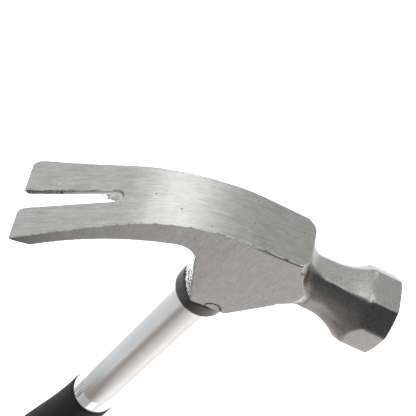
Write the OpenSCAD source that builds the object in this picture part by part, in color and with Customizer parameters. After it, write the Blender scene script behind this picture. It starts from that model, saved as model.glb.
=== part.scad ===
// Curved claw hammer: forged head, chrome plated steel tube handle, moulded grip.
// Origin: centre of the butt's flat end. +Z runs up the handle to the head,
// +X points to the striking face, the claws reach out to -X.

/* [Overall] */
// Height of the hammer from the butt to the top of the head
overall_h = 320; // [300:1:345]

/* [Handle tube] */
// Outside diameter of the tube
tube_d = 14.3; // [13.8:0.1:14.8]
// Wall thickness of the tube
tube_wall = 1.2; // [0.8:0.1:1.8]
// Diameter of the flared top end of the tube, inside the head
flare_d = 15.3; // [15:0.1:15.8]

/* [Collar] */
// Outside diameter of the collar under the head
collar_d = 20.7; // [19.5:0.1:21]
// Height of the collar
collar_h = 8.6; // [7:0.2:10]

/* [Grip] */
// Length of the grip sleeve
grip_len = 168.5; // [150:0.5:180]
// Diameter of the grip at its upper rim
grip_rim_d = 19.6; // [19:0.1:21]
// Diameter of the swell in the palm
grip_swell_d = 30; // [27:0.5:32]
// Diameter of the waist above the butt
grip_waist_d = 25.5; // [24:0.5:27]
// Diameter of the butt
butt_d = 33; // [31:0.5:35]
// Width of the grip across its two flattened sides
grip_flat_w = 24.5; // [23.5:0.5:27]
// Diameter of the hole for hanging the hammer up
hang_hole_d = 6; // [5:0.5:7]

/* [Head] */
// Distance from the handle's axis to the claw tips
claw_reach = 74; // [70:0.5:78]
// Distance from the handle's axis to the crown of the striking face
face_reach = 57.8; // [55:0.2:60]
// Diameter of the striking face
face_d = 29; // [28:0.1:30]
// Height of the head at the handle, from its top to its lower end
head_h = 45; // [43:0.5:47]
// Width of the head at the handle
head_w = 21; // [20.6:0.1:22]
// Radius of the arch of the claws on their upper side
claw_top_r = 67.7; // [66:0.1:70]
// Angle that the claws reach below the horizontal at their tips
claw_droop = 43.8; // [42:0.2:46]
// Radius of the hollow that widens the claws towards their tips
claw_flare_r = 325; // [300:5:400]

/* [Nail slot] */
// Width of the slot between the claws at their tips
slot_tip_w = 8; // [7:0.1:9]
// Width of the slot near its closed end
slot_root_w = 4.8; // [4:0.1:5.5]
// Distance from the handle's axis to the closed end of the slot
slot_root_x = 46.2; // [44:0.2:50]
// How far the slot sits to the -Y side of the middle
slot_shift = 0.4; // [0:0.1:0.8]

/* [Neck and poll] */
// Width of the poll across its eight corners
poll_corner_d = 30.4; // [29.8:0.1:31]
// Distance from the handle's axis to the middle of the neck's waist
waist_x = 30; // [29:0.2:31]
// Half width of the neck at its waist
neck_half_w = 9; // [8.6:0.1:9.6]
// Height of the neck's top above the middle of the poll
neck_up = 10.9; // [10:0.1:11.6]
// Depth of the neck's underside below the middle of the poll
neck_down = 7.8; // [7:0.1:8.6]

/* [Hidden] */

$fn = 96;

// Sizes of cutting solids, how far they run past a surface, and a hair's breadth
far = 200;
reach = 90;
over = 1;
eps = 0.01;

// Heights
head_top_z = overall_h;
head_low_z = overall_h - head_h;
face_z = overall_h - 19.3;
tube_r = tube_d / 2;
tube_ir = tube_r - tube_wall;
tube_top_z = overall_h - 13;
flare_start_z = tube_top_z - 9;
tube_low_z = 24;
tube_plug_h = 12;

// Shoulder of the tube that rests on the grip's rim
shoulder_r = 9.35;
shoulder_t = 0.5;

// Upper side of the head: a nearly level strap, an arch, and straight claws
strap_slope = 1.55;
strap_end_x = 17;
arch_x = 0.1;
level_x = arch_x - claw_top_r * sin(strap_slope);
level_z = head_top_z - (strap_end_x - level_x) * tan(strap_slope);
arch_z = level_z - claw_top_r * cos(strap_slope);
droop_x = arch_x - claw_top_r * sin(claw_droop);
droop_z = arch_z + claw_top_r * cos(claw_droop);
tip_top_z = droop_z - (claw_reach + droop_x) * tan(claw_droop);

// Under side of the claws: one long arc, and the bevel that sharpens their tips
under_r = 127.9;
under_x = 26.1;
under_z = head_top_z - 134.8;
bevel_angle = 27;

// Rounded inner corner below the claws, and the slope of the back of the head
throat_r = 6.8;
throat_x = -21.7;
throat_z = head_top_z - 24.4;
rear_lean = 22.8;
front_lean = 33;
front_low_x = 7.7;
front_round_r = 2.6;

// Boss round the socket: two slanting cylinders, one behind the axis and one in front
boss_rear_r = 18;
boss_rear_x = 11.8;
boss_rear_h = 41;
boss_front_r = 22;
boss_front_x = -18;
boss_front_h = 38;
boss_drop = 4;

// Cheeks: the ground flats stand back a little under the strap's lip
cheek_x = -7.8;
strap_taper = 1.46;
cheek_taper = 2.5;
claw_end_taper = 20;
lip_t = 0.8;
lip_gap = 0.05;
cheek_front_x = 24.5;
prism_x = 10;

// Half width of the claws at their tips
claw_sweep = claw_reach + cheek_x;
claw_tip_half = head_w / 2 + claw_sweep * claw_sweep / (2 * claw_flare_r);

// Eight-sided neck and poll: half angles of its flats, seen along X
flat_half = 25.5;
chamfer_half = 45 - flat_half;
poll_r = poll_corner_d / 2;

// Distance from the poll's axis to the neck's chamfers at the waist
upper_chamfer = 10.6;
lower_chamfer = 10;

// Where the neck's flats reach the poll, and the radii of their rear fillets
top_poll_x = 45.2;
side_poll_x = 44.2;
lower_poll_x = 43.5;
top_waist_x = waist_x + 2;
top_fillet_r = 10.9;
upper_fillet_r = 8;
side_fillet_r = 3;
lower_fillet_r = 5;
bottom_fillet_r = 10;
fillet_back = 4;

// Striking face: its crown, and the chamfer round its edge
crown_r = 60;
face_edge = 1.2;

// Scallop in the lower edge of one cheek
scallop_r = 3.1;
scallop_x = 2.8;
scallop_up = 0.4;
scallop_depth = 0.8;

// Grip: heights of its turns
butt_round = 3;
butt_z = 8;
grip_waist_z = 34;
swell_z = 84;
rim_run = 2;
rim_bevel = 0.6;
hang_hole_z = 12;

// ---- Head ----

// Points of an arc, from one angle to the other
function arc(x, y, r, from, to, steps) = [
    for (i = [0:steps])
        let (a = from + (to - from) * i / steps)
        [x + r * cos(a), y + r * sin(a)]
];

// A solid from a side view, spread to both sides of the middle plane
module across(width) {
    rotate([90, 0, 0])
        linear_extrude(width, center = true)
            children();
}

// A solid from a plan, as tall as the head
module upright() {
    translate([0, 0, head_low_z - over])
        linear_extrude(head_h + 2 * over)
            children();
}

// All that lies under the upper surface of the head
module under_strap() {
    across(far)
        translate([arch_x, arch_z])
            circle(claw_top_r, $fn = 360);
    across(far)
        polygon([
            [level_x, level_z],
            [level_x + reach, level_z + reach * tan(strap_slope)],
            [level_x + reach, level_z - reach],
            [level_x - reach / 3, level_z - reach]
        ]);
    across(far)
        polygon([
            [droop_x, droop_z],
            [droop_x + reach / 3, droop_z - reach],
            [droop_x - reach, droop_z - reach],
            [droop_x - reach, droop_z - reach * tan(claw_droop)]
        ]);
}

// Plan of the head: hollow sided claws, and a straight taper towards the poll
module head_plan(taper, front_x) {
    half_w = head_w / 2;
    front_half = half_w - (front_x - cheek_x) * tan(taper);
    swing = asin((claw_reach + cheek_x + over) / claw_flare_r);
    hollow = arc(cheek_x, half_w + claw_flare_r, claw_flare_r, 270 - swing, 270, 36);
    polygon(concat(
        hollow,
        [[front_x, front_half], [front_x, -front_half]],
        [for (i = [len(hollow) - 1:-1:0]) [hollow[i][0], -hollow[i][1]]]
    ));
}

// Claws, back to the handle
module claws() {
    difference() {
        upright()
            head_plan(claw_end_taper, level_x);
        across(far)
            translate([under_x, under_z])
                circle(under_r, $fn = 720);
        across(far)
            polygon([
                [-claw_reach - reach, tip_top_z + reach * tan(bevel_angle)],
                [-claw_reach, tip_top_z],
                [-claw_reach + reach, tip_top_z - reach * tan(bevel_angle)],
                [-claw_reach - reach, tip_top_z - reach]
            ]);
        translate([-claw_reach - far, -far / 2, 0])
            cube([far, far, 2 * far]);
        tip_corner(claw_tip_half, 3);
        tip_corner(-slot_shift - slot_tip_w / 2, 2);
    }
}

// Air outside a rounded corner, in plan, on the +Y side of a claw's tip
module tip_corner(corner_y, corner_r) {
    centre_x = -claw_reach + corner_r;
    centre_y = corner_y - corner_r;
    upright()
        polygon(concat(
            arc(centre_x, centre_y, corner_r, 90, 180, 8),
            [
                [-claw_reach - over, centre_y],
                [-claw_reach - over, corner_y + over],
                [centre_x, corner_y + over]
            ]
        ));
}

// Flat cheeks around the handle, with the rounded throat below the claws
module cheeks() {
    rear_top_x = throat_x + throat_r * cos(rear_lean);
    rear_top_z = throat_z + throat_r * sin(rear_lean);
    rear_low_x = rear_top_x + (rear_top_z - head_low_z) * tan(rear_lean);
    round_x = front_low_x - front_round_r * (1 - sin(front_lean)) / cos(front_lean);
    intersection() {
        across(far)
            polygon(concat(
                [[throat_x, head_top_z]],
                arc(throat_x, throat_z, throat_r, 90, rear_lean, 10),
                [[rear_low_x, head_low_z]],
                arc(round_x, head_low_z + front_round_r, front_round_r, -90, -front_lean, 6),
                [
                    [cheek_front_x, head_low_z + (cheek_front_x - front_low_x) / tan(front_lean)],
                    [cheek_front_x, head_top_z]
                ]
            ));
        upright()
            head_plan(cheek_taper, cheek_front_x + over);
    }
}

// Boss around the socket: slanting cylinders round it off behind and in front
module boss() {
    intersection() {
        union() {
            intersection() {
                boss_round(boss_rear_x, -rear_lean, boss_rear_r, boss_rear_h);
                translate([over - far, -far / 2, 0])
                    cube([far, far, 2 * far]);
            }
            intersection() {
                boss_round(boss_front_x, front_lean, boss_front_r, boss_front_h);
                translate([-over, -far / 2, 0])
                    cube([far, far, 2 * far]);
            }
        }
        translate([0, 0, head_low_z])
            linear_extrude(head_h - boss_drop)
                head_plan(cheek_taper, cheek_front_x + over);
    }
}

// One slanting cylinder, started a little below the head
module boss_round(x, lean, r, h) {
    translate([x, 0, head_low_z - boss_drop])
        rotate([0, lean, 0])
            cylinder(r = r, h = h, $fn = 180);
}

// Thin lip where the strap overhangs the cheeks, with its rounded poll end
module strap_lip() {
    end_r = 21;
    start_x = cheek_x + lip_t;
    front_x = strap_end_x + over;
    start_half = head_w / 2 - lip_gap;
    front_half = start_half - (front_x - start_x) * tan(strap_taper);
    intersection() {
        translate([level_x, -far / 2, level_z])
            rotate([0, -strap_slope, 0])
                translate([-far / 2, 0, -lip_t])
                    cube([far, far, 5 * lip_t]);
        upright()
            polygon([
                [start_x, start_half],
                [front_x, front_half],
                [front_x, -front_half],
                [start_x, -start_half]
            ]);
        translate([strap_end_x - end_r, 0, 0])
            cylinder(r = end_r, h = far * 2, $fn = 180);
    }
}

// Cheeks, boss, neck and poll, hollowed on each of the neck's eight flats
module body() {
    difference() {
        union() {
            cheeks();
            boss();
            intersection() {
                translate([prism_x, 0, face_z])
                    rotate([90, 0, 90])
                        linear_extrude(face_reach - prism_x)
                            octagon(poll_r);
                upright()
                    neck_plan();
            }
        }
        flat_hollow(0, flat_half, neck_up, top_waist_x, top_fillet_r, top_poll_x);
        flat_hollow(180, flat_half, neck_down, waist_x, bottom_fillet_r, lower_poll_x);
        for (side = [-1, 1]) {
            flat_hollow(side * 45, chamfer_half, upper_chamfer, waist_x, upper_fillet_r, top_poll_x);
            flat_hollow(side * 90, flat_half, neck_half_w, waist_x, side_fillet_r, side_poll_x);
            flat_hollow(side * 135, chamfer_half, lower_chamfer, waist_x, lower_fillet_r, lower_poll_x);
        }
    }
}

// Plan of the neck and poll: no wider than the cheeks behind the waist
module neck_plan() {
    root_half = neck_half_w - 0.1;
    widen_x = waist_x - fillet_back + 0.2;
    polygon([
        [prism_x - over, root_half],
        [widen_x, root_half],
        [widen_x + reach, root_half + reach],
        [widen_x + reach, -root_half - reach],
        [widen_x, -root_half],
        [prism_x - over, -root_half]
    ]);
}

// Eight-sided outline with wide flats and narrower chamfers, centred on the poll
module octagon(r) {
    polygon([
        for (quarter = [0:3])
            for (side = [-1, 1])
                [r * cos(90 * quarter + side * flat_half), r * sin(90 * quarter + side * flat_half)]
    ]);
}

// Air above one flat: rear fillet, waist, and the flare up to the poll
module flat_hollow(turn, half_angle, waist_d, at_x, rear_r, end_x) {
    fillet_x = at_x - fillet_back;
    rise = poll_r * cos(half_angle) - waist_d;
    run = end_x - at_x;
    flare_r = (run * run + rise * rise) / (2 * rise);
    flare_end = 270 + asin(run / flare_r);
    translate([0, 0, face_z])
        rotate([turn, 0, 0])
            across(far)
                polygon(concat(
                    [[fillet_x - rear_r, waist_d + reach]],
                    arc(fillet_x, waist_d + rear_r, rear_r, 180, 270, 12),
                    arc(at_x, waist_d + flare_r, flare_r, 270, flare_end, 12),
                    [[end_x, waist_d + reach]]
                ));
}

// Turned outline of the striking face: edge chamfer and crown
module face_round() {
    wide = 120;
    face_r = face_d / 2;
    crown_x = face_reach - crown_r;
    crown_angle = acos(face_r / crown_r);
    edge_x = crown_x + crown_r * sin(crown_angle);
    translate([0, 0, face_z])
        rotate([0, 90, 0])
            rotate_extrude($fn = 180)
                polygon(concat(
                    [
                        [0, -reach],
                        [wide, -reach],
                        [wide, cheek_front_x],
                        [face_r + face_edge, top_poll_x],
                        [face_r + face_edge, edge_x - face_edge]
                    ],
                    arc(0, crown_x, crown_r, crown_angle, 90, 8)
                ));
}

// Tapered slot that grips a nail between the claws
module nail_slot() {
    root_r = slot_root_w / 2;
    root_x = -slot_root_x - root_r;
    past_tip = claw_reach + over;
    translate([0, -slot_shift, 0]) {
        translate([root_x, 0, head_low_z])
            cylinder(r = root_r, h = head_h + over);
        upright()
            polygon([
                [root_x, root_r],
                [-past_tip, slot_tip_w / 2],
                [-past_tip, -slot_tip_w / 2],
                [root_x, -root_r]
            ]);
    }
}

// Blind socket for the tube: straight, then widening to lock its flared end
module eye_socket() {
    translate([0, 0, head_low_z - over])
        cylinder(r = tube_r, h = flare_start_z - head_low_z + over);
    translate([0, 0, flare_start_z - eps])
        cylinder(r1 = tube_r, r2 = flare_d / 2, h = tube_top_z - flare_start_z + eps);
}

// Small scallop in the lower edge of one cheek, above the collar
module cheek_scallop() {
    translate([scallop_x, -head_w / 2, head_low_z + scallop_up])
        rotate([90, 0, 0])
            cylinder(r = scallop_r, h = 2 * scallop_depth, center = true);
}

module head() {
    color("silver")
        difference() {
            intersection() {
                union() {
                    claws();
                    body();
                    strap_lip();
                }
                under_strap();
                face_round();
            }
            nail_slot();
            eye_socket();
            cheek_scallop();
        }
}

// ---- Handle ----

module handle_tube() {
    color("gainsboro")
        rotate_extrude()
            polygon([
                [tube_ir, tube_low_z],
                [tube_r, tube_low_z],
                [tube_r, grip_len],
                [shoulder_r, grip_len],
                [shoulder_r, grip_len + shoulder_t],
                [tube_r, grip_len + shoulder_t],
                [tube_r, flare_start_z],
                [flare_d / 2, tube_top_z],
                [flare_d / 2 - tube_wall, tube_top_z],
                [tube_ir, flare_start_z]
            ]);
}

// Tapered plug that spreads the top of the tube inside the socket
module expander_plug() {
    plug_nose = 6;
    nose_bevel = 1;
    color("dimgray")
        rotate_extrude()
            polygon([
                [0, flare_start_z - plug_nose],
                [tube_ir - nose_bevel, flare_start_z - plug_nose],
                [tube_ir, flare_start_z - plug_nose + nose_bevel],
                [tube_ir, flare_start_z],
                [flare_d / 2 - tube_wall, tube_top_z],
                [0, tube_top_z]
            ]);
}

module collar() {
    collar_r = collar_d / 2;
    collar_low_z = head_low_z - collar_h;
    round_r = 2;
    bevel = 0.9;
    color("black")
        rotate_extrude()
            difference() {
                union() {
                    translate([tube_r, collar_low_z + round_r])
                        square([collar_r - tube_r, collar_h - round_r]);
                    translate([tube_r, collar_low_z])
                        square([collar_r - tube_r - round_r, collar_h]);
                    translate([collar_r - round_r, collar_low_z + round_r])
                        circle(round_r);
                }
                translate([collar_r, head_low_z])
                    rotate(45)
                        square(bevel, center = true);
            }
}

// ---- Grip ----

// Outline points from one diameter to another along a smooth cosine wave
function wave(t) = (1 - cos(180 * t)) / 2;
function wave_run(from_d, to_d, from_z, to_z, steps) = [
    for (i = [1:steps])
        [(from_d + (to_d - from_d) * wave(i / steps)) / 2, from_z + (to_z - from_z) * i / steps]
];

// Half of the grip's outline: butt, waist, palm swell and rim
module grip_outline() {
    steps = 14;
    butt_r = butt_d / 2;
    rim_r = grip_rim_d / 2;
    rim_low_z = grip_len - rim_run;
    polygon(concat(
        [[0, 0]],
        arc(butt_r - butt_round, butt_round, butt_round, -90, 0, 6),
        [[butt_r, butt_z]],
        wave_run(butt_d, grip_waist_d, butt_z, grip_waist_z, steps),
        wave_run(grip_waist_d, grip_swell_d, grip_waist_z, swell_z, steps),
        wave_run(grip_swell_d, grip_rim_d, swell_z, rim_low_z, steps),
        [[rim_r - rim_bevel, grip_len], [0, grip_len]]
    ));
}

module grip() {
    color([0.12, 0.12, 0.13])
        difference() {
            intersection() {
                rotate_extrude()
                    grip_outline();
                translate([-far / 2, -grip_flat_w / 2, -over])
                    cube([far, grip_flat_w, grip_len + 2 * over]);
            }
            translate([0, 0, tube_low_z])
                cylinder(r = tube_r, h = grip_len);
            translate([0, 0, hang_hole_z])
                rotate([90, 0, 0])
                    cylinder(d = hang_hole_d, h = far, center = true);
        }
}

// Plug that closes the cut lower end of the tube
module tube_end_plug() {
    color("darkslategray")
        translate([0, 0, tube_low_z])
            cylinder(r = tube_ir, h = tube_plug_h);
}

head();
handle_tube();
expander_plug();
collar();
grip();
tube_end_plug();
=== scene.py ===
import math

import bpy
import numpy as np
from mathutils import Matrix, Vector


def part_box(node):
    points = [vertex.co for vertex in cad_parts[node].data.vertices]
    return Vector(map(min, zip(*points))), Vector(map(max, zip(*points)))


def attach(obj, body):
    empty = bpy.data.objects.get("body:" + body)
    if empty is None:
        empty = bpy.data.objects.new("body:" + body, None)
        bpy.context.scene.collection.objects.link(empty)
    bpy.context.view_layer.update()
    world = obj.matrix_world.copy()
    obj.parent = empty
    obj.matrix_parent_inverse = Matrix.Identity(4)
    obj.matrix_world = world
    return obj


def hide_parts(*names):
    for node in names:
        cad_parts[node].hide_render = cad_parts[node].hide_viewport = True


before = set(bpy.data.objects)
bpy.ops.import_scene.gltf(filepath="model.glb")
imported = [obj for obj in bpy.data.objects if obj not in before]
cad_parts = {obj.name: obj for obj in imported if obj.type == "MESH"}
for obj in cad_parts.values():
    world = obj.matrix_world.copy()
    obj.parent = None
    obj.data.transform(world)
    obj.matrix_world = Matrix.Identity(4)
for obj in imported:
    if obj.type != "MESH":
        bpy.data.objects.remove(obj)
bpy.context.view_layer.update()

MM = 0.001


def corners_mm(node):
    """Lowest and highest corner of a CAD node, in millimetres."""
    return [np.array(c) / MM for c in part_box(node)]


HEAD_LO, HEAD_HI = corners_mm("head")
TUBE_LO, TUBE_HI = corners_mm("handle_tube")
COLLAR_LO, COLLAR_HI = corners_mm("collar")
GRIP_HI = corners_mm("grip")[1]
PLUG_HI = corners_mm("expander_plug")[1]

# ---------------------------------------------------------------- distance fields, in millimetres


def deg(a):
    return math.radians(a)


def step(a, b, t):
    """0 before a, 1 after b, smooth between."""
    s = np.clip((t - a) / (b - a), 0, 1)
    return s * s * (3 - 2 * s)


def both(a, b, r=0.0):
    """What two solids share, with a rounded edge of radius r."""
    if isinstance(r, float) and r <= 0:
        return np.maximum(a, b)
    u, v = np.maximum(a + r, 0), np.maximum(b + r, 0)
    return np.minimum(np.maximum(a, b), -r) + np.sqrt(u * u + v * v)


def either(a, b, r=0.0):
    """Two solids joined, with a fillet of radius r."""
    return -both(-a, -b, r)


def hashed(ix, iy, iz, seed):
    """A repeatable value from 0 to 1 for each lattice point."""
    h = (ix * 374761393 + iy * 668265263 + iz * 2147483647 + seed * 974634777) & 0xFFFFFFFF
    h = ((h ^ (h >> 13)) * 1274126177) & 0xFFFFFFFF
    return ((h ^ (h >> 16)) & 0xFFFFFF) / 16777215.0


def noise(x, y, z, seed=1):
    """Smooth noise from -1 to 1, one lattice cell per unit."""
    fx, fy, fz = np.floor(x), np.floor(y), np.floor(z)
    tx, ty, tz = x - fx, y - fy, z - fz
    tx, ty, tz = [t * t * (3 - 2 * t) for t in (tx, ty, tz)]
    ix, iy, iz = [f.astype(np.int64) for f in (fx, fy, fz)]
    total = 0
    for dx in (0, 1):
        for dy in (0, 1):
            for dz in (0, 1):
                w = (tx if dx else 1 - tx) * (ty if dy else 1 - ty) * (tz if dz else 1 - tz)
                total = total + w * hashed(ix + dx, iy + dy, iz + dz, seed)
    return 2 * total - 1


# The head's own measures, in millimetres
TOP_Z = HEAD_HI[2]
LOW_Z = COLLAR_HI[2]
FACE_X = HEAD_HI[0]
TIP_X = HEAD_LO[0]
FACE_Z = TOP_Z - 19.3
HALF_W = 10.5

# Upper surface: a nearly level strap, an arch, and the straight claws
SLOPE = deg(1.55)
STRAP_END_X, STRAP_END_R = 17.0, 21
ARCH_X, ARCH_R = 0.1, 67.7
DROOP = deg(43.8)
LEVEL_X = ARCH_X - ARCH_R * math.sin(SLOPE)
LEVEL_Z = TOP_Z - (STRAP_END_X - LEVEL_X) * math.tan(SLOPE)
ARCH_Z = LEVEL_Z - ARCH_R * math.cos(SLOPE)
DROOP_X = ARCH_X - ARCH_R * math.sin(DROOP)
TIP_Z = ARCH_Z + ARCH_R * math.cos(DROOP) - (DROOP_X - TIP_X) * math.tan(DROOP)

# Rounding of the strap's front corners, which fades out below the strap; the CAD part has none
CORNER_R, CORNER_FADE_TOP, CORNER_FADE_LOW = 4.5, 315, 311.5

# Underside of the claws, and the bevel at their tips
UNDER_X, UNDER_Z, UNDER_R = 26.1, TOP_Z - 134.8, 127.9
BEVEL = deg(27)
SLOT_ROOT_X, SLOT_ROOT_R, SLOT_SHIFT = -48.6, 2.4, 0.4
SLOT_TIP_X, SLOT_TIP_HALF = -76.0, 4.0

# Cheeks, and the boss round the socket
CHEEK_X, CHEEK_FRONT_X = -7.8, 24.5
STRAP_TAPER, CHEEK_TAPER = deg(1.46), deg(2.5)
CLAW_FLARE_R = 325.0
REAR_LEAN, FRONT_LEAN = deg(22.8), deg(33.0)
THROAT = (-21.7, TOP_Z - 24.4, 6.8)
FRONT_LOW_X, FRONT_ROUND_R = 7.7, 2.6
BOSS_REAR = (11.8, -REAR_LEAN, 18.0, 41)
BOSS_FRONT = (-18.0, FRONT_LEAN, 22.0, 38)
BOSS_DROP = 4
SCALLOP_X, SCALLOP_UP, SCALLOP_R = 2.8, 0.4, 3.1
SOCKET_R = 7.22

# Neck and poll. Each flat: its turn about the poll's axis, half angle, distance from the axis at the
# waist, the waist's place, the radius of its rear fillet, and where its flare reaches the poll
POLL_R, RIM_R, CROWN_R = 15.2, 15.1, 60
FLAT_HALF, CHAMFER_HALF = 25.5, 19.5
NECK_FLATS = [(180, FLAT_HALF, 7.8, 30, 10.0, 43.5)]
for sign in (-1, 1):
    NECK_FLATS += [
        (sign * 135, CHAMFER_HALF, 10.0, 30, 6.0, 43.5),
        (sign * 90, FLAT_HALF, 9.0, 30, 3.0, 44.2),
        (sign * 45, CHAMFER_HALF, 10.6, 30, 8.0, 45.2),
    ]
NECK_FLATS += [(0, FLAT_HALF, 10.9, 32, 10.9, 45.2)]
NECK_ROOT_X, NECK_ROOT_HALF = 26.2, 8.9


def top_field(x, z):
    """Above the strap, the arch and the straight claws is positive."""
    turn = np.arctan2(x - ARCH_X, z - ARCH_Z)
    level = (z - LEVEL_Z) * math.cos(SLOPE) - (x - LEVEL_X) * math.sin(SLOPE)
    droop = (x - ARCH_X) * -math.sin(DROOP) + (z - ARCH_Z) * math.cos(DROOP) - ARCH_R
    arch = np.hypot(x - ARCH_X, z - ARCH_Z) - ARCH_R
    return np.where(turn > -SLOPE, level, np.where(turn < -DROOP, droop, arch))


def half_width(x, taper):
    """Half width of the head in plan."""
    back = np.clip(CHEEK_X - x, 0, 80)
    hollow = HALF_W + CLAW_FLARE_R - np.sqrt(CLAW_FLARE_R**2 - back**2)
    return np.where(x < CHEEK_X, hollow, HALF_W - (x - CHEEK_X) * math.tan(taper))


def slot_field(x, y, depth):
    """Inside the nail slot is negative. Below a short land, its walls open towards the underside."""
    land, opening_rate, opening_most = 1.9, 0.8, 3.6
    y = y + SLOT_SHIFT
    opening = np.clip((depth - land) * opening_rate, 0, opening_most)
    spread = math.atan((SLOT_TIP_HALF - SLOT_ROOT_R) / (SLOT_ROOT_X - SLOT_TIP_X))
    wall = np.abs(y) - SLOT_ROOT_R - (SLOT_ROOT_X - x) * math.tan(spread) - opening
    ring = np.hypot(x - SLOT_ROOT_X, y) - SLOT_ROOT_R - opening * 0.6
    return np.where(x < SLOT_ROOT_X, wall * math.cos(spread), ring)


def neck_flat(x, u, half_angle, waist_d, waist_x, rear_r, poll_x):
    """Above one of the neck's eight flats is positive; so is above the poll's flat beside it."""
    fillet_x = waist_x - 4
    flat_d = POLL_R * math.cos(half_angle)
    up = flat_d - waist_d
    flare_r = ((poll_x - waist_x) ** 2 + up * up) / (2 * up)
    rear = np.where(
        u < waist_d + rear_r,
        rear_r - np.hypot(x - fillet_x, u - waist_d - rear_r),
        x - fillet_x + rear_r,
    )
    flare = flare_r - np.hypot(x - waist_x, u - waist_d - flare_r)
    return np.where(x < fillet_x, rear, np.where(x < waist_x, u - waist_d, flare)), u - flat_d


def neck_parts(x, y, z):
    """Outside the hollowed neck, outside the eight-sided poll, and above the top flat is positive."""
    ridge = 0.28 * np.exp(-((y / 1.3) ** 2)) * step(26, 32, x) * (1 - step(38, 45, x))
    crown = 0.018 * y * y
    neck = eight = None
    for turn, half, waist_d, waist_x, rear_r, poll_x in NECK_FLATS:
        u = -y * math.sin(deg(turn)) + z * math.cos(deg(turn))
        if turn == 0:
            u = u - (ridge - crown) * step(46.5, 44.5, x)
        hollow, flat = neck_flat(x, u, deg(half), waist_d, waist_x, rear_r, poll_x)
        neck = hollow if neck is None else both(neck, hollow, 0.6 if turn == 0 else 3.5)
        eight = flat if eight is None else both(eight, flat, 0.6)
    return neck, eight, hollow


def slanted(x, y, z, start_x, lean, r, length):
    """Outside a slanting cylinder that starts a little below the head is positive."""
    up = z - LOW_Z + BOSS_DROP
    along = (x - start_x) * math.sin(lean) + up * math.cos(lean)
    across = (x - start_x) * math.cos(lean) - up * math.sin(lean)
    return np.maximum(np.hypot(across, y) - r, along - length)


def cheek_field(x, z):
    """Side view of the cheeks, with the slanting back and front."""
    tx, tz, tr = THROAT
    rear_x, rear_z = tx + tr * math.cos(REAR_LEAN), tz + tr * math.sin(REAR_LEAN)
    rear = -(x - rear_x) * math.cos(REAR_LEAN) - (z - rear_z) * math.sin(REAR_LEAN)
    front = (x - FRONT_LOW_X) * math.cos(FRONT_LEAN) - (z - LOW_Z) * math.sin(FRONT_LEAN)
    return np.maximum(both(both(front, LOW_Z - z, FRONT_ROUND_R), rear, 0.7), x - CHEEK_FRONT_X)


def head_parts(x, y, z):
    """The distances that make up the head, and that its finish depends on."""
    top = top_field(x, z)
    side = np.abs(y) - half_width(x, STRAP_TAPER)

    # side view of the claws, joined to the cheeks and the boss
    under = UNDER_R - np.hypot(x - UNDER_X, z - UNDER_Z)
    bevel = -((x - TIP_X) * math.sin(BEVEL) + (z - TIP_Z) * math.cos(BEVEL))
    claw = np.maximum(both(under, bevel, 0.35), x - LEVEL_X - 4)
    boss_rear = np.maximum(slanted(x, y, z, *BOSS_REAR), x)
    boss_front = np.maximum(slanted(x, y, z, *BOSS_FRONT), -x)
    boss = both(np.minimum(boss_rear, boss_front), LOW_Z - z, 0.7)
    block = np.minimum(either(claw, cheek_field(x, z), THROAT[2]), either(claw, boss, 5.0))

    # plan, with the cheeks set back a little under the strap's lip
    set_back = 0.5 * step(-9, 8, x) * (1 - step(0.7, 1.7, -top))
    wide = half_width(x, CHEEK_TAPER) - set_back
    plan = both(both(y - wide, TIP_X - x, 3.0), -y - wide, 0.3)
    block = both(block, plan, 0.2)

    # neck and poll
    centre_z = z - FACE_Z
    neck, eight, crest = neck_parts(x, y, centre_z)
    root = np.abs(y) - np.where(x < NECK_ROOT_X, NECK_ROOT_HALF, NECK_ROOT_HALF + (x - NECK_ROOT_X))
    prism = np.maximum(np.maximum(10 - x, root), eight)
    crown = np.sqrt((x - FACE_X + CROWN_R) ** 2 + y**2 + centre_z**2) - CROWN_R
    rim = np.hypot(y, centre_z) - RIM_R + np.maximum(x - FACE_X + 2.0, 0) * 0.4
    prism = both(both(prism, crown, 0.5), rim, 0.5)
    block = np.where(x < LEVEL_X - 30, block, both(np.minimum(block, prism), neck, 0.6))

    # rounded front corners of the strap, where the neck's top begins
    below = 8 * step(CORNER_FADE_TOP, CORNER_FADE_LOW, z)
    corner = np.where(x > 8, both(side, crest, CORNER_R) - below, -5)
    return top, side, block, neck, corner


def scallop_distance(x, z):
    """Distance from the axis of the scallop in one cheek."""
    return np.hypot(x - SCALLOP_X, z - LOW_Z - SCALLOP_UP)


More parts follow.
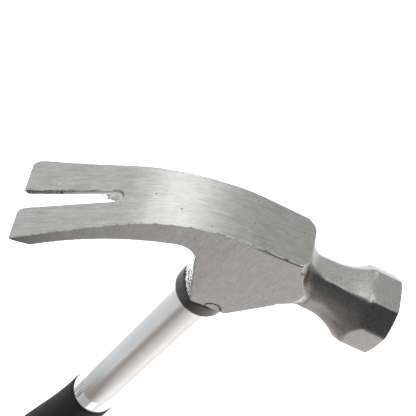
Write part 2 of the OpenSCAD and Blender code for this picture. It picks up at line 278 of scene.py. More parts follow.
def head_field(x, y, z):
    """Outside the head is positive."""
    top, side, block, _, corner = head_parts(x, y, z)

    # thin lip of the strap over the cheeks
    lip = np.maximum(np.maximum(-top - 0.55, CHEEK_X + 0.8 - x), side + 0.03)
    lip = both(lip, np.hypot(x - STRAP_END_X + STRAP_END_R, y) - STRAP_END_R, 0.3)
    solid = both(np.minimum(block, lip), corner, 0.2)
    solid = both(solid, top, 0.12)

    # nail slot, and the softer inner corner of the near claw's tip
    slot = -slot_field(x, y, -top)
    slot = np.where(y < 0, both(slot, TIP_X - x, 2.0), slot)
    solid = both(solid, slot, 0.25)

    # socket, and the scallop with a fine groove round it
    socket = np.hypot(x, y) - SOCKET_R - 0.5 * step(297, 307, z)
    solid = np.maximum(solid, -np.maximum(socket, z - PLUG_HI[2] - 0.05))
    out, inward = scallop_distance(x, z) - SCALLOP_R, np.abs(y + HALF_W)
    dent = np.maximum(out, inward - 0.4)
    groove = np.maximum(np.maximum(np.abs(out) - 0.24, inward - 0.9), LOW_Z + 1.2 - z)
    solid = both(solid, -np.minimum(dent, groove), 0.12)

    # forged skin: pitted behind the cheeks and in the slot, gently uneven on the neck
    bare = step(0.5, 2.0, -top) * step(0.1, 0.45, half_width(x, CHEEK_TAPER) - np.abs(y))
    pits = noise(x * 0.9, y * 0.9, z * 0.9, 3) * 0.6 + noise(x * 1.4, y * 1.4, z * 1.4, 4) * 0.5
    waves = noise(x * 0.16, y * 0.16, z * 0.16, 5) + 0.5 * noise(x * 0.4, y * 0.4, z * 0.4, 6)
    near_skin = np.exp(-((solid / 1.5) ** 2))
    rough = bare * (x < 14) * np.where(x < -30, 0.55, 0.8 + 1.1 * step(296, 284, z))
    return solid + near_skin * (0.16 * rough * pits + 0.10 * step(18, 26, x) * waves)


def surface(field, lo, hi, h):
    """Net of quads over a field's zero surface, with its points moved onto it."""
    lo = np.array(lo, float) - 2.5 * h
    count = np.ceil((np.array(hi) + 2.5 * h - lo) / h / 4).astype(int)
    centre = [lo[k] + (np.arange(count[k]) * 4 + 1.5) * h for k in range(3)]
    cx, cy, cz = np.meshgrid(*centre, indexing="ij")
    coarse = field(cx, cy, cz)
    full = np.repeat(np.repeat(np.repeat(coarse, 4, 0), 4, 1), 4, 2).astype(np.float32)
    blocks = np.argwhere(np.abs(coarse) < 6.5 * h)
    offset = np.array(np.meshgrid(*[np.arange(4)] * 3, indexing="ij")).reshape(3, -1).T
    for part in np.array_split(blocks, max(1, len(blocks) // 6000)):
        at = (part[:, None, :] * 4 + offset[None]).reshape(-1, 3)
        p = lo + at * h
        full[at[:, 0], at[:, 1], at[:, 2]] = field(p[:, 0], p[:, 1], p[:, 2])
    inside = full < 0
    shape = np.array(full.shape)
    cells = np.zeros(shape - 1, np.uint8)
    for dx in (0, 1):
        for dy in (0, 1):
            for dz in (0, 1):
                cells += inside[dx : shape[0] - 1 + dx, dy : shape[1] - 1 + dy, dz : shape[2] - 1 + dz]
    active = np.argwhere((cells > 0) & (cells < 8))
    index = -np.ones(shape - 1, np.int64)
    index[active[:, 0], active[:, 1], active[:, 2]] = np.arange(len(active))
    total, hits = np.zeros((len(active), 3)), np.zeros(len(active))
    crossings = []
    for axis in range(3):
        others = [k for k in range(3) if k != axis]
        for a in (0, 1):
            for b in (0, 1):
                start = np.zeros(3, int)
                start[others[0]], start[others[1]] = a, b
                end = start.copy()
                end[axis] = 1
                p, q = active + start, active + end
                fp, fq = full[p[:, 0], p[:, 1], p[:, 2]], full[q[:, 0], q[:, 1], q[:, 2]]
                crossed = (fp < 0) != (fq < 0)
                t = np.where(crossed, fp / np.where(crossed, fp - fq, 1), 0)
                point = p.astype(float)
                point[:, axis] += t
                total += np.where(crossed[:, None], point, 0)
                hits += crossed
                crossings.append((np.flatnonzero(crossed), lo + point[crossed] * h))
    middle = lo + total / hits[:, None] * h
    verts = sharpened(field, crossings, middle, h)
    quads = []
    for axis in range(3):
        b, c = (axis + 1) % 3, (axis + 2) % 3
        first, second = [slice(None)] * 3, [slice(None)] * 3
        first[axis], second[axis] = slice(0, -1), slice(1, None)
        change = inside[tuple(first)] != inside[tuple(second)]
        edge = np.argwhere(change)
        edge = edge[(edge[:, b] > 0) & (edge[:, c] > 0)]
        edge = edge[(edge[:, b] < shape[b] - 1) & (edge[:, c] < shape[c] - 1)]
        eb, ec = np.eye(3, dtype=int)[b], np.eye(3, dtype=int)[c]
        ring = [index[tuple((edge - k).T)] for k in (eb * 0, eb, eb + ec, ec)]
        face = np.stack(ring, 1)
        out = inside[tuple(edge.T)]
        face[~out] = face[~out][:, ::-1]
        quads.append(face)
    return verts, np.concatenate(quads)


def sharpened(field, crossings, middle, h):
    """Moves each cell's point to where the tangent planes round it meet, so that edges stay crisp."""
    square, right = np.zeros((len(middle), 3, 3)), np.zeros((len(middle), 3))
    for cell, point in crossings:
        slope = gradient(field, point, h * 0.1)
        offset = (slope * (point - middle[cell])).sum(1)
        square[cell] += slope[:, :, None] * slope[:, None, :]
        right[cell] += slope * offset[:, None]
    move = np.linalg.solve(square + 0.04 * np.eye(3), right[:, :, None])[:, :, 0]
    move = np.clip(move, -0.75 * h, 0.75 * h)
    return middle + move


def gradient(field, verts, d):
    """Outward direction of a field at some points."""
    g = np.zeros_like(verts)
    for k in range(3):
        hop = np.zeros(3)
        hop[k] = d
        g[:, k] = (field(*(verts + hop).T) - field(*(verts - hop).T)) / (2 * d)
    return g / np.maximum(np.linalg.norm(g, axis=1, keepdims=True), 1e-6)


def build_mesh(name, verts, faces, masks, material):
    """An object from points in millimetres, faces and named point values."""
    mesh = bpy.data.meshes.new(name)
    mesh.vertices.add(len(verts))
    mesh.vertices.foreach_set("co", (verts * MM).astype(np.float32).ravel())
    mesh.loops.add(faces.size)
    mesh.loops.foreach_set("vertex_index", faces.astype(np.int32).ravel())
    mesh.polygons.add(len(faces))
    mesh.polygons.foreach_set("loop_start", np.arange(len(faces), dtype=np.int32) * faces.shape[1])
    mesh.update(calc_edges=True)
    mesh.polygons.foreach_set("use_smooth", np.ones(len(faces), bool))
    for key, values in masks.items():
        layer = mesh.attributes.new(key, "FLOAT", "POINT")
        layer.data.foreach_set("value", np.asarray(values, np.float32))
    mesh.validate()
    mesh.set_sharp_from_angle(angle=deg(38))
    obj = bpy.data.objects.new(name, mesh)
    bpy.context.scene.collection.objects.link(obj)
    obj.data.materials.append(material)
    return obj


def head_masks(verts):
    """Which way each point of the head was finished, and where shade is painted on it."""
    x, y, z = verts.T
    top, side, _, neck, _ = head_parts(x, y, z)
    cheek_side = np.abs(y) - half_width(x, CHEEK_TAPER)
    facing = gradient(head_field, verts, 0.08)
    upward = facing[:, 2] * 0.8 - facing[:, 0] * 0.35
    strap = step(-0.6, -0.3, top) * (x < 17.6) * step(0.45, 0.75, upward)
    poll = np.maximum(step(-0.4, -0.1, neck) * step(9, 12, x), step(43, 45, x))
    flats = np.maximum(step(-0.6, -0.3, cheek_side) * (cheek_side < 0.3), step(-0.6, -0.3, side))
    flats = flats * (1 - strap) * (1 - poll) * (x < 24) * step(0.6, 0.9, np.abs(facing[:, 1]))
    rough = np.clip(1 - strap - poll - flats, 0, 1)

    # painted shade in the scallop's groove, and painted shadow under the strap's lip and along the
    # slot's far edge
    edge = np.abs(scallop_distance(x, z) - SCALLOP_R)
    dirt = step(0.65, 0.15, edge) * (y < 0) * (np.abs(cheek_side) < 1.3) * (z > LOW_Z + 0.5)
    under_lip_shadow = step(-0.2, -0.1, side) * step(-0.05, -0.15, top) * step(-0.85, -0.6, top)
    under_lip_shadow = under_lip_shadow * (x > -6) * (x < 17)
    slot_edge_shadow = step(0.5, 0.25, np.abs(slot_field(x, y, -top))) * (y > -0.4)
    dirt = np.maximum(dirt, 0.8 * under_lip_shadow)
    dirt = np.maximum(dirt, slot_edge_shadow * step(-0.05, -0.2, top) * step(-1.3, -0.8, top))
    return {"strap": strap, "flats": flats, "poll": poll, "rough": rough, "dirt": dirt}


# ---------------------------------------------------------------- materials


class Tree:
    """A short way to write a material's nodes."""

    def __init__(self, name, world=False):
        self.data = bpy.data.worlds.new(name) if world else bpy.data.materials.new(name)
        self.data.use_nodes = True
        self.nodes, self.links = self.data.node_tree.nodes, self.data.node_tree.links
        self.nodes.clear()

    def put(self, value, socket):
        if isinstance(value, bpy.types.NodeSocket):
            self.links.new(value, socket)
        elif value is not None:
            socket.default_value = value

    def add(self, kind, inputs=None, **props):
        node = self.nodes.new(kind)
        for key, value in props.items():
            setattr(node, key, value)
        for key, value in (inputs or {}).items():
            self.put(value, node.inputs[key])
        return node

    def math(self, op, a, b=None, c=None, clamp=False):
        node = self.add("ShaderNodeMath", operation=op, use_clamp=clamp)
        for k, value in enumerate((a, b, c)):
            self.put(value, node.inputs[k])
        return node.outputs[0]

    def mix(self, t, a, b):
        node = self.add("ShaderNodeMix", data_type="FLOAT")
        for k, value in zip((0, 2, 3), (t, a, b)):
            self.put(value, node.inputs[k])
        return node.outputs[0]

    def tint(self, t, a, b, blend="MIX"):
        node = self.add("ShaderNodeMix", data_type="RGBA", blend_type=blend)
        for k, value in zip((0, 6, 7), (t, a, b)):
            self.put(value, node.inputs[k])
        return node.outputs[2]

    def blend(self, t, a, b):
        node = self.add("ShaderNodeMix", data_type="VECTOR")
        for k, value in zip((0, 4, 5), (t, a, b)):
            self.put(value, node.inputs[k])
        return node.outputs[1]

    def spread(self, value, lo, hi, to_lo=0.0, to_hi=1.0):
        node = self.add("ShaderNodeMapRange")
        for k, v in enumerate((value, lo, hi, to_lo, to_hi)):
            self.put(v, node.inputs[k])
        return node.outputs[0]

    def mask(self, name):
        return self.add("ShaderNodeAttribute", attribute_name=name).outputs["Fac"]

    def place(self):
        """Object coordinates in millimetres."""
        if not hasattr(self, "where"):
            coord = self.add("ShaderNodeTexCoord").outputs["Object"]
            scale = self.add("ShaderNodeVectorMath", operation="SCALE")
            self.put(coord, scale.inputs[0])
            scale.inputs["Scale"].default_value = 1000.0
            self.where = scale.outputs[0]
        return self.where

    def noise(self, scale, detail=3.0, rough=0.55, stretch=(1, 1, 1), turn=(0, 0, 0)):
        shape = self.add("ShaderNodeMapping")
        self.put(self.place(), shape.inputs[0])
        shape.inputs["Rotation"].default_value = turn
        shape.inputs["Scale"].default_value = stretch
        node = self.add("ShaderNodeTexNoise", {"Scale": scale, "Detail": detail, "Roughness": rough})
        self.put(shape.outputs[0], node.inputs["Vector"])
        return node.outputs["Fac"]

    def finish(self, surface):
        out = self.add("ShaderNodeOutputMaterial")
        self.put(surface, out.inputs["Surface"])
        return self.data

    def coat(self, colour, gloss, height, strength, depth, inputs):
        """A surface with a fine relief, whose depth is in metres."""
        shader = self.add("ShaderNodeBsdfPrincipled", inputs)
        bump = self.add("ShaderNodeBump", {"Strength": strength, "Distance": depth, "Height": height})
        self.put(colour, shader.inputs["Base Color"])
        self.put(gloss, shader.inputs["Roughness"])
        self.put(bump.outputs[0], shader.inputs["Normal"])
        return self.finish(shader.outputs[0])


def grey(v, a=1.0):
    return (v, v, v, a)


def forged_steel():
    """Ground strap and cheeks, a coarsely polished poll, and bare forged skin between, with painted
    light and shade in the tones of the strap, sides and neck.
    """
    t = Tree("forged_steel")
    strap, flats, poll, rough = [t.mask(k) for k in ("strap", "flats", "poll", "rough")]
    lengthwise = t.noise(1.0, 4, 0.7, (0.14, 1.5, 0.14))
    fine_long = t.noise(1.0, 2, 0.5, (0.5, 3.4, 0.5))
    upright = t.noise(1.0, 4, 0.7, (1.6, 0.6, 0.17), (0, deg(-4), 0))
    coarse_up = t.noise(1.0, 2, 0.5, (3.0, 0.5, 0.5), (0, deg(5), 0))
    mottle = t.noise(0.28, 4, 0.6)
    grain = t.noise(1.6, 4, 0.65)
    pits = t.noise(1.9, 3, 0.7)
    up_streak, long_streak = t.mix(0.4, upright, coarse_up), t.mix(0.35, lengthwise, fine_long)
    streak = t.mix(strap, t.mix(flats, grain, up_streak), long_streak)

    specks = t.add("ShaderNodeTexVoronoi", {"Scale": 0.42, "Randomness": 1.0}, feature="F1")
    t.put(t.place(), specks.inputs["Vector"])
    chosen = t.math("GREATER_THAN", t.noise(0.42, 0, 0.5), 0.7)
    speck = t.spread(specks.outputs["Distance"], 0.10, 0.16, 1.0, 0.0)
    speck = t.math("MULTIPLY", speck, chosen, clamp=True)
    speck = t.math("MULTIPLY", speck, t.math("SUBTRACT", 1.0, rough))

    along = t.add("ShaderNodeSeparateXYZ")
    t.put(t.place(), along.inputs[0])
    # painted shade: the claw sides and cheeks are darker towards the claw tips and lighter towards the
    # cheeks
    side_painted_shade_level = t.spread(along.outputs[0], -74.0, -60.0, 0.2, 0.4)
    side_painted_shade_level = t.math("ADD", side_painted_shade_level, t.spread(along.outputs[0], -60.0, -25.0, 0.0, 0.18))
    # painted shade: the neck is darker towards its lower side, and past x 45 the poll takes one even
    # tone
    neck_painted_shade_level = t.spread(along.outputs[2], 297.0, 307.0, 0.27, 0.55)
    poll_painted_shade_level = t.mix(t.spread(along.outputs[0], 40.0, 45.0), neck_painted_shade_level, 0.47)
    # painted light and shade: the strap is lighter towards the claws and darker towards the poll
    strap_painted_light_level = t.spread(along.outputs[0], -40.0, 0.0, 0.61, 0.47)
    level = t.mix(strap, t.mix(flats, t.mix(poll, 0.95, poll_painted_shade_level), side_painted_shade_level), strap_painted_light_level)
    shade = t.spread(streak, 0.32, 0.68, 0.76, 1.22)
    shade = t.math("MULTIPLY", shade, t.spread(mottle, 0.3, 0.7, 0.94, 1.05))
    low = t.spread(along.outputs[2], 298.0, 281.0, 0.0, 0.19)
    dark = t.spread(pits, t.math("ADD", 0.30, low), t.math("ADD", 0.35, low), 0.08, 1.0)
    shade = t.math("MULTIPLY", shade, t.mix(rough, 1.0, dark))
    shade = t.math("MULTIPLY", shade, t.spread(speck, 0.0, 1.0, 1.0, 0.35))
    # darkens where shade is painted: in the scallop's groove, under the strap's lip and along the
    # slot's far edge
    shade = t.math("MULTIPLY", shade, t.spread(t.mask("dirt"), 0.0, 1.0, 1.0, 0.45))
    tone = t.math("MULTIPLY", level, shade, clamp=True)
    colour = t.add("ShaderNodeCombineColor")
    t.put(t.math("MULTIPLY", tone, t.mix(flats, 1.0, 0.97)), colour.inputs[0])
    t.put(t.math("MULTIPLY", tone, 0.993), colour.inputs[1])
    t.put(t.math("MULTIPLY", tone, t.mix(flats, 0.98, 1.0)), colour.inputs[2])

    gloss = t.mix(strap, t.mix(flats, t.mix(poll, 0.5, 0.33), 0.42), 0.34)
    gloss = t.math("ADD", gloss, t.spread(streak, 0.3, 0.7, -0.05, 0.05))
    scratched = t.math("MULTIPLY", streak, t.mix(rough, 0.5, 1.6))
    pitted = t.math("MULTIPLY", pits, t.math("MULTIPLY", rough, 2.5))
    height = t.math("SUBTRACT", t.math("ADD", scratched, pitted), speck)
    brushed = t.blend(flats, (1.0, 0.0, 0.0), (0.06, 0.0, 1.0))
    steel = {"Metallic": 1.0, "Anisotropic": 0.55, "Tangent": brushed}
    return t.coat(colour.outputs[0], gloss, height, 0.5, 0.00005, steel)


def chrome():
    """Bright plating with faint lengthwise polishing lines and rubbed patches."""
    t = Tree("chrome_plate")
    lines = t.noise(1.0, 3, 0.6, (2.6, 2.6, 0.06))
    haze = t.noise(0.11, 3, 0.6)
    colour = t.tint(t.spread(haze, 0.3, 0.7), grey(0.86), grey(0.92))
    gloss = t.math("ADD", t.spread(lines, 0.3, 0.7, 0.025, 0.05), t.spread(haze, 0.45, 0.75, 0.0, 0.03))
    return t.coat(colour, gloss, lines, 0.15, 0.00001, {"Metallic": 1.0})


def black_gloss():
    """Moulded glossy black plastic with fine scuffs."""
    t = Tree("collar_plastic")
    scuffs = t.noise(1.0, 3, 0.6, (0.5, 0.5, 5.0))
    cloud = t.noise(0.35, 3, 0.6)
    colour = t.tint(t.spread(cloud, 0.3, 0.7), grey(0.004), grey(0.01))
    gloss = t.spread(scuffs, 0.35, 0.7, 0.07, 0.16)
    return t.coat(colour, gloss, scuffs, 0.25, 0.00002, {"IOR": 1.75})


def grip_vinyl():
    """Black moulded vinyl: smooth near the rim, finely pebbled in the palm."""
    t = Tree("grip_vinyl")
    palm = t.mask("palm")
    pebble = t.add("ShaderNodeTexVoronoi", {"Scale": 1.1, "Randomness": 0.9}, feature="SMOOTH_F1")
    t.put(t.place(), pebble.inputs["Vector"])
    grain = t.noise(2.2, 3, 0.6)
    rub = t.noise(0.09, 4, 0.6)
    colour = t.tint(t.spread(rub, 0.3, 0.7), grey(0.008), grey(0.014))
    gloss = t.math("ADD", t.spread(rub, 0.3, 0.7, 0.4, 0.52), t.math("MULTIPLY", palm, 0.08))
    pebbled = t.math("MULTIPLY", pebble.outputs["Distance"], t.math("MULTIPLY", palm, 1.4))
    height = t.math("ADD", pebbled, t.math("MULTIPLY", grain, 0.25))
    return t.coat(colour, gloss, height, 0.35, 0.00012, {"IOR": 1.22})


def plain(name, value, metallic, gloss):
    """Machined or moulded parts that are out of sight inside the handle."""
    t = Tree(name)
    rings = t.noise(1.0, 3, 0.6, (0.4, 0.4, 4.0))
    colour = t.tint(t.spread(rings, 0.3, 0.7), grey(value * 0.85), grey(value * 1.1))
    gloss = t.spread(rings, 0.3, 0.7, gloss - 0.05, gloss + 0.05)
    return t.coat(colour, gloss, rings, 0.3, 0.00003, {"Metallic": metallic})


# ---------------------------------------------------------------- pieces

TUBE_R, TUBE_WALL, TUBE_FLARE_R = 7.15, 1.2, 7.65
HANG_HOLE_R, HANG_HOLE_Z = 3.0, 12.0


def stand_in(obj, node):
    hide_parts(node)
    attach(obj, "root")


def lathe(profile, sides, shape=None):
    """Points and faces of a closed outline turned about Z; shape may bend the points."""
    profile = np.array(profile, float)
    turn = np.linspace(0, 2 * math.pi, sides, endpoint=False)
    r, z = profile[:, 0][:, None], profile[:, 1][:, None]
    x, y = r * np.cos(turn), r * np.sin(turn)
    verts = np.stack([x, y, z + 0 * x], 2).reshape(-1, 3)
    if shape is not None:
        verts = shape(verts)
    n = len(profile)
    a = np.arange(n)[:, None] * sides + np.arange(sides)[None]
    b = np.roll(a, -1, 1)
    c, d = np.roll(b, -1, 0), np.roll(a, -1, 0)
    faces = np.stack([a, b, c, d], 2).reshape(-1, 4)
    return verts, faces


def bow(cx, cz, r, start, end, steps=6):
    """Points along an arc of an outline."""
    turn = np.linspace(deg(start), deg(end), steps)
    return [(cx + r * math.cos(a), cz + r * math.sin(a)) for a in turn]


def run(a, b, steps):
    """Evenly spaced points from a up to, but not including, b."""
    return [(a[0] + (b[0] - a[0]) * k / steps, a[1] + (b[1] - a[1]) * k / steps) for k in range(steps)]


def path(start, *legs):
    """Points along straight legs, each given by its end and its number of steps."""
    points = []
    for end, steps in legs:
        points += run(start, end, steps)
        start = end
    return points


def without_repeats(outline):
    """The outline with no two neighbouring points in one place."""
    return [outline[0]] + [b for a, b in zip(outline, outline[1:]) if math.dist(a, b) > 1e-4]


def make_head():
    pad = np.array([0.6, 0.6, 0.6])
    h = 0.36
    verts, faces = surface(head_field, HEAD_LO - pad, HEAD_HI + pad, h)
    verts = np.clip(verts, HEAD_LO, HEAD_HI)
    head = build_mesh("hammer_head", verts, faces, head_masks(verts), forged_steel())
    stand_in(head, "head")


def make_tube():
    """The tube, flared inside the head, with the thin ring that rests on the grip's rim."""
    r, inner = TUBE_R, TUBE_R - TUBE_WALL
    low, high, flare_start = TUBE_LO[2], TUBE_HI[2], TUBE_HI[2] - 9
    seat, ring, thick = GRIP_HI[2], 9.35, 0.5
    end_edge, ring_edge = 0.3, 0.12
    outline = path(
        (inner, low + end_edge),
        ((inner + end_edge, low), 2),
        ((r - end_edge, low), 2),
        ((r, low + end_edge), 2),
        ((r, seat), 20),
        ((ring, seat), 4),
        ((ring, seat + thick - ring_edge), 2),
        ((ring - ring_edge, seat + thick), 2),
        ((r, seat + thick), 6),
        ((r, flare_start), 24),
        ((TUBE_FLARE_R, high), 8),
        ((TUBE_FLARE_R - TUBE_WALL, high), 2),
        ((inner, flare_start), 8),
        ((inner, low + end_edge), 40),
    )
    verts, faces = lathe(outline, 192)
    tube = build_mesh("handle_tube_plated", verts, faces, {}, chrome())
    stand_in(tube, "handle_tube")


def make_collar():
    """The collar under the head, with a broad round at its foot and a small one at its top."""
    r, low, high, foot, edge = COLLAR_HI[0], COLLAR_LO[2], COLLAR_HI[2], 2.1, 0.5
    outline = run((TUBE_R, low), (r - foot, low), 6) + bow(r - foot, low + foot, foot, -90, 0, 12)
    outline += run((r, low + foot), (r, high - 0.55), 6) + bow(r - edge, high - edge, edge, 0, 90, 7)
    outline += path((r - edge, high), ((TUBE_R, high), 6), ((TUBE_R, low), 8))
    verts, faces = lathe(without_repeats(outline), 192)
    collar = build_mesh("collar_ring", verts, faces, {}, black_gloss())
    stand_in(collar, "collar")


def bore_out(obj, r, z, half):
    """A hole along Y right through a piece, with rounded mouths."""
    soft, out = 0.8, half + 2
    turns = (0, 20, 40, 60, 90)
    mouth = [(r + soft - soft * math.sin(deg(a)), half - soft + soft * math.cos(deg(a))) for a in turns]
    outline = [(0.02, -out), (r + soft, -out)] + [(a, -b) for a, b in mouth]
    outline += mouth[::-1] + [(r + soft, out), (0.02, out)]
    verts, faces = lathe(outline[::-1], 64)
    verts = np.stack([verts[:, 0], verts[:, 2], z - verts[:, 1]], 1)
    drill = build_mesh("drill", verts, faces, {}, obj.data.materials[0])
    cut = obj.modifiers.new("bore", "BOOLEAN")
    cut.operation, cut.solver, cut.object = "DIFFERENCE", "EXACT", drill
    solid = bpy.data.meshes.new_from_object(obj.evaluated_get(bpy.context.evaluated_depsgraph_get()))
    obj.modifiers.clear()
    obj.data = solid
    obj.data.set_sharp_from_angle(angle=deg(38))
    bpy.data.objects.remove(drill)


def wave(a, b, t):
    """A smooth passage from a to b."""
    return a + (b - a) * (1 - math.cos(math.pi * t)) / 2


def make_grip():
    """The sleeve: a rounded butt, a waist, the swell in the palm, and a slender neck up to the rim."""
    rim_z, bore_low, flat = GRIP_HI[2], TUBE_LO[2], GRIP_HI[1]
    rim_r, swell_r, waist_r, butt_r = 9.8, 15.0, 12.75, GRIP_HI[0]
    butt_z, waist_z, swell_z, neck_z = 8, 34, 84, rim_z - 2
    butt_round = 3
    outline = run((0.02, 0), (butt_r - butt_round, 0), 10)
    outline += bow(butt_r - butt_round, butt_round, butt_round, -90, 0, 12)
    stretches = (
        (butt_r, waist_r, butt_z, waist_z - butt_z, 24, 0),
        (waist_r, swell_r, waist_z, swell_z - waist_z, 40, 1),
        (swell_r, rim_r, swell_z, neck_z - swell_z, 70, 1),
    )
    for start_r, end_r, start_z, rise, steps, skip in stretches:
        turns = np.linspace(0, 1, steps)[skip:]
        outline += [(wave(start_r, end_r, t), start_z + rise * t) for t in turns]
    outline += [(rim_r - 0.1, rim_z - 1.5)] + bow(rim_r - 0.6, rim_z - 0.25, 0.25, 10, 90, 5)
    outline += path(
        (rim_r - 0.65, rim_z),
        ((TUBE_R, rim_z), 6),
        ((TUBE_R, bore_low), 30),
        ((0.02, bore_low), 8),
    )

    def flatten(v):
        """Two flattened sides, with rounded edges."""
        size, soft = np.abs(v[:, 1]), 2.5
        over = np.clip(size - (flat - soft), 0, None)
        v[:, 1] = np.sign(v[:, 1]) * np.where(over > 0, flat - soft + soft * np.tanh(over / soft), size)
        return v

    verts, faces = lathe(without_repeats(outline), 256, flatten)
    z = verts[:, 2]
    palm = step(14, 22, z) * (1 - step(112, 122, z))
    grip = build_mesh("grip_sleeve", verts, faces, {"palm": palm}, grip_vinyl())
    bore_out(grip, HANG_HOLE_R, HANG_HOLE_Z, flat)
    stand_in(grip, "grip")


def finish_node(name, material):
    """Give a CAD node that stays in the scene its material."""
    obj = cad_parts[name]
    obj.data.materials.clear()
    obj.data.materials.append(material)


make_head()
make_tube()
make_collar()
make_grip()
finish_node("expander_plug", plain("plug_steel", 0.45, 1.0, 0.4))
finish_node("tube_end_plug", plain("plug_plastic", 0.03, 0.0, 0.5))

# ---------------------------------------------------------------- studio

FLOOR_GLOW, FLOOR_HALF, CARD_HALF = 1.4, 60.0, 59.0
CAMERA_AZIMUTH = deg(-24.08)
HEAD_SPOT = Vector((0, 0, 0.30))


def level_square(name, half, material):
    """A level square sheet; its half width is in metres."""
    mesh = bpy.data.meshes.new(name)
    corners = [(-half, -half, 0), (half, -half, 0), (half, half, 0), (-half, half, 0)]
    mesh.from_pydata(corners, [], [(0, 1, 2, 3)])
    mesh.materials.append(material)
    sheet = bpy.data.objects.new(name, mesh)
    bpy.context.scene.collection.objects.link(sheet)
    return sheet


def floor_material():
    t = Tree("studio_floor")
    cloud = t.noise(0.004, 2, 0.5)
    shader = t.add("ShaderNodeBsdfPrincipled", {"Roughness": 0.9})
    t.put(t.tint(cloud, grey(0.88), grey(0.9)), shader.inputs["Base Color"])
    shader.inputs["Emission Color"].default_value = grey(1.0)
    shader.inputs["Emission Strength"].default_value = FLOOR_GLOW
    return t.finish(shader.outputs[0])


def make_floor():
    floor = level_square("studio_floor", FLOOR_HALF, floor_material())


def soft_light(name, direction, distance, size, watts, aim, tint=(1, 1, 1)):
    """A square soft box that faces the aim point from a direction."""
    light = bpy.data.lights.new(name, "AREA")
    light.shape, light.size, light.energy, light.color = "SQUARE", size, watts, tint
    obj = bpy.data.objects.new(name, light)
    bpy.context.scene.collection.objects.link(obj)
    way = Vector(direction).normalized()
    obj.location = aim + way * distance
    obj.rotation_mode = "QUATERNION"
    obj.rotation_quaternion = way.to_track_quat("Z", "Y")
    obj.visible_camera = False
    return obj


def only_for(light, names):
    """The light falls on these pieces alone."""
    group = bpy.data.collections.new(light.name + "_receivers")
    for name in names:
        group.objects.link(bpy.data.objects[name])
    light.light_linking.receiver_collection = group


def make_card():
    """A graded card on the floor that only reflections show: dim in front, bright to the right."""
    t = Tree("graded_card")
    spot = t.add("ShaderNodeSeparateXYZ")
    t.put(t.place(), spot.inputs[0])
    turn = t.math("ARCTAN2", t.math("MULTIPLY", spot.outputs[0], -1.0), spot.outputs[1])
    turn = t.spread(turn, -math.pi, math.pi)
    squares = [t.math("POWER", spot.outputs[k], 2) for k in (0, 1)]
    reach = t.math("POWER", t.math("ADD", *squares), 0.5)
    cool, warm = (0.97, 0.985, 1.0), (1.0, 0.955, 0.925)

    def ramp(stops):
        """Brightness round the card; each stop is an angle, a brightness and a hue."""
        node = t.add("ShaderNodeValToRGB", {"Fac": turn})
        while len(node.color_ramp.elements) < len(stops):
            node.color_ramp.elements.new(0.5)
        for element, (angle, value, hue) in zip(node.color_ramp.elements, stops):
            element.position = (angle + 180) / 360
            element.color = [value * c for c in hue] + [1]
        return node.outputs[0]

    far = ramp([
        (-180, 0.84, cool), (-120, 0.74, cool), (-65, 0.64, cool), (-32, 0.61, cool), (-17, 0.38, warm),
        (0, 0.33, warm), (18, 0.48, warm), (52, 0.71, warm), (90, 1.0, warm), (180, 0.84, cool),
    ])
    near = ramp([
        (-180, 0.84, cool), (-124, 0.62, cool), (-66, 0.47, cool), (-46, 0.35, warm), (10, 0.27, warm),
        (28, 0.40, warm), (68, 0.9, warm), (90, 1.02, warm), (180, 0.84, cool),
    ])
    outer = ramp([
        (-180, 1.2, cool), (-110, 0.9, cool), (-60, 0.5, cool), (-20, 0.25, warm), (0, 0.2, warm),
        (26, 0.24, warm), (42, 0.68, warm), (60, 0.85, warm), (100, 1.0, warm), (180, 1.2, cool),
    ])
    beyond = ramp([
        (-180, 1.3, cool), (-110, 0.9, cool), (-60, 0.2, cool), (0, 0.14, warm), (60, 0.2, warm),
        (110, 0.9, warm), (180, 1.3, cool),
    ])
    glow = t.add("ShaderNodeEmission", {"Strength": 1.0})
    hue = t.tint(t.spread(reach, 116, 138), near, far)
    hue = t.tint(t.spread(reach, 205, 235), hue, outer)
    hue = t.tint(t.spread(reach, 420, 800), hue, beyond)
    t.put(hue, glow.inputs["Color"])
    card = level_square("graded_card", CARD_HALF, t.finish(glow.outputs[0]))
    card.location = (0, 0, 0.001)
    card.rotation_euler = (0, 0, math.pi + CAMERA_AZIMUTH)
    card.visible_camera = card.visible_diffuse = card.visible_shadow = card.visible_transmission = False


def make_world():
    """A room that is darker in front of the hammer than behind it."""
    t = Tree("studio_room", world=True)
    coord = t.add("ShaderNodeTexCoord").outputs["Generated"]
    split = t.add("ShaderNodeSeparateXYZ")
    t.put(coord, split.inputs[0])
    back = t.spread(split.outputs[1], -0.35, 0.45, 0.08, 0.62)
    glow = t.add("ShaderNodeBackground", {"Color": grey(1.0)})
    t.put(back, glow.inputs["Strength"])
    out = t.add("ShaderNodeOutputWorld")
    t.put(glow.outputs[0], out.inputs["Surface"])
    bpy.context.scene.world = t.data


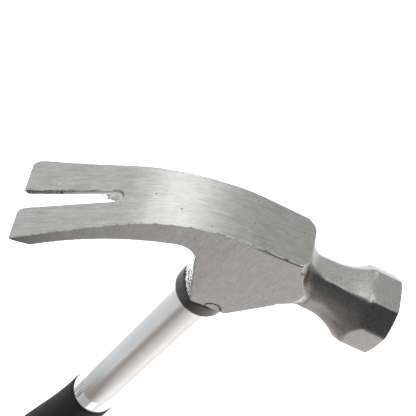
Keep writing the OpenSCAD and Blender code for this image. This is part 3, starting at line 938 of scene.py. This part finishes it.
def make_camera():
    """Looks down on the head from the front left, rolled so that the handle leans."""
    azimuth, elevation, roll = CAMERA_AZIMUTH, deg(49.44), deg(43.9)
    distance, field = 0.4854, deg(17.35)
    aim = Vector((-0.0124, 0.0187, HEAD_HI[2] * MM - 0.030))
    cam = bpy.data.objects.new("camera", bpy.data.cameras.new("camera"))
    bpy.context.scene.collection.objects.link(cam)
    back = Vector((
        math.sin(azimuth) * math.cos(elevation),
        -math.cos(azimuth) * math.cos(elevation),
        math.sin(elevation),
    ))
    cam.location = aim + back * distance
    cam.rotation_mode = "QUATERNION"
    leaning = Matrix.Rotation(roll, 3, "Z").to_quaternion()
    cam.rotation_quaternion = back.to_track_quat("Z", "Y") @ leaning
    cam.data.sensor_width = 36.0
    cam.data.lens = 18.0 / math.tan(field / 2)
    cam.data.clip_start, cam.data.clip_end = 0.02, 200.0
    cam.data.dof.use_dof = False
    bpy.context.scene.camera = cam


make_floor()
make_world()
soft_light("key", (-0.47, 0.58, 0.66), 1.4, 0.6, 1.5, HEAD_SPOT)
soft_light("overhead", (0.25, -0.02, 0.97), 1.6, 0.6, 1.2, HEAD_SPOT)
sheen = soft_light("sheen", (-0.33, 0.28, 0.90), 1.5, 0.3, 1.1, HEAD_SPOT)
rim_spot = Vector((0, 0, GRIP_HI[2] * MM))
rim_light = soft_light("rim_light", (0.244, 0.467, 0.85), 1.2, 0.7, 2.4, rim_spot)
fill = soft_light("fill", (-0.25, -0.47, 0.845), 1.2, 1.7, 3.8, rim_spot)
side_fill = soft_light("side_fill", (0.55, -0.12, 0.82), 1.2, 1.4, 5.0, rim_spot)
cheek_spot = HEAD_SPOT - Vector((0.009, 0.004, 0.015))
kicker = soft_light("kicker", (0.08, 0.54, -0.84), 0.2, 0.12, 0.22, cheek_spot)
for light in (sheen, kicker):
    only_for(light, ["hammer_head"])
for light in (rim_light, fill, side_fill):
    only_for(light, ["handle_tube_plated"])
make_card()
make_camera()

bpy.context.scene.view_settings.view_transform = "Standard"
bpy.context.scene.view_settings.look = "None"
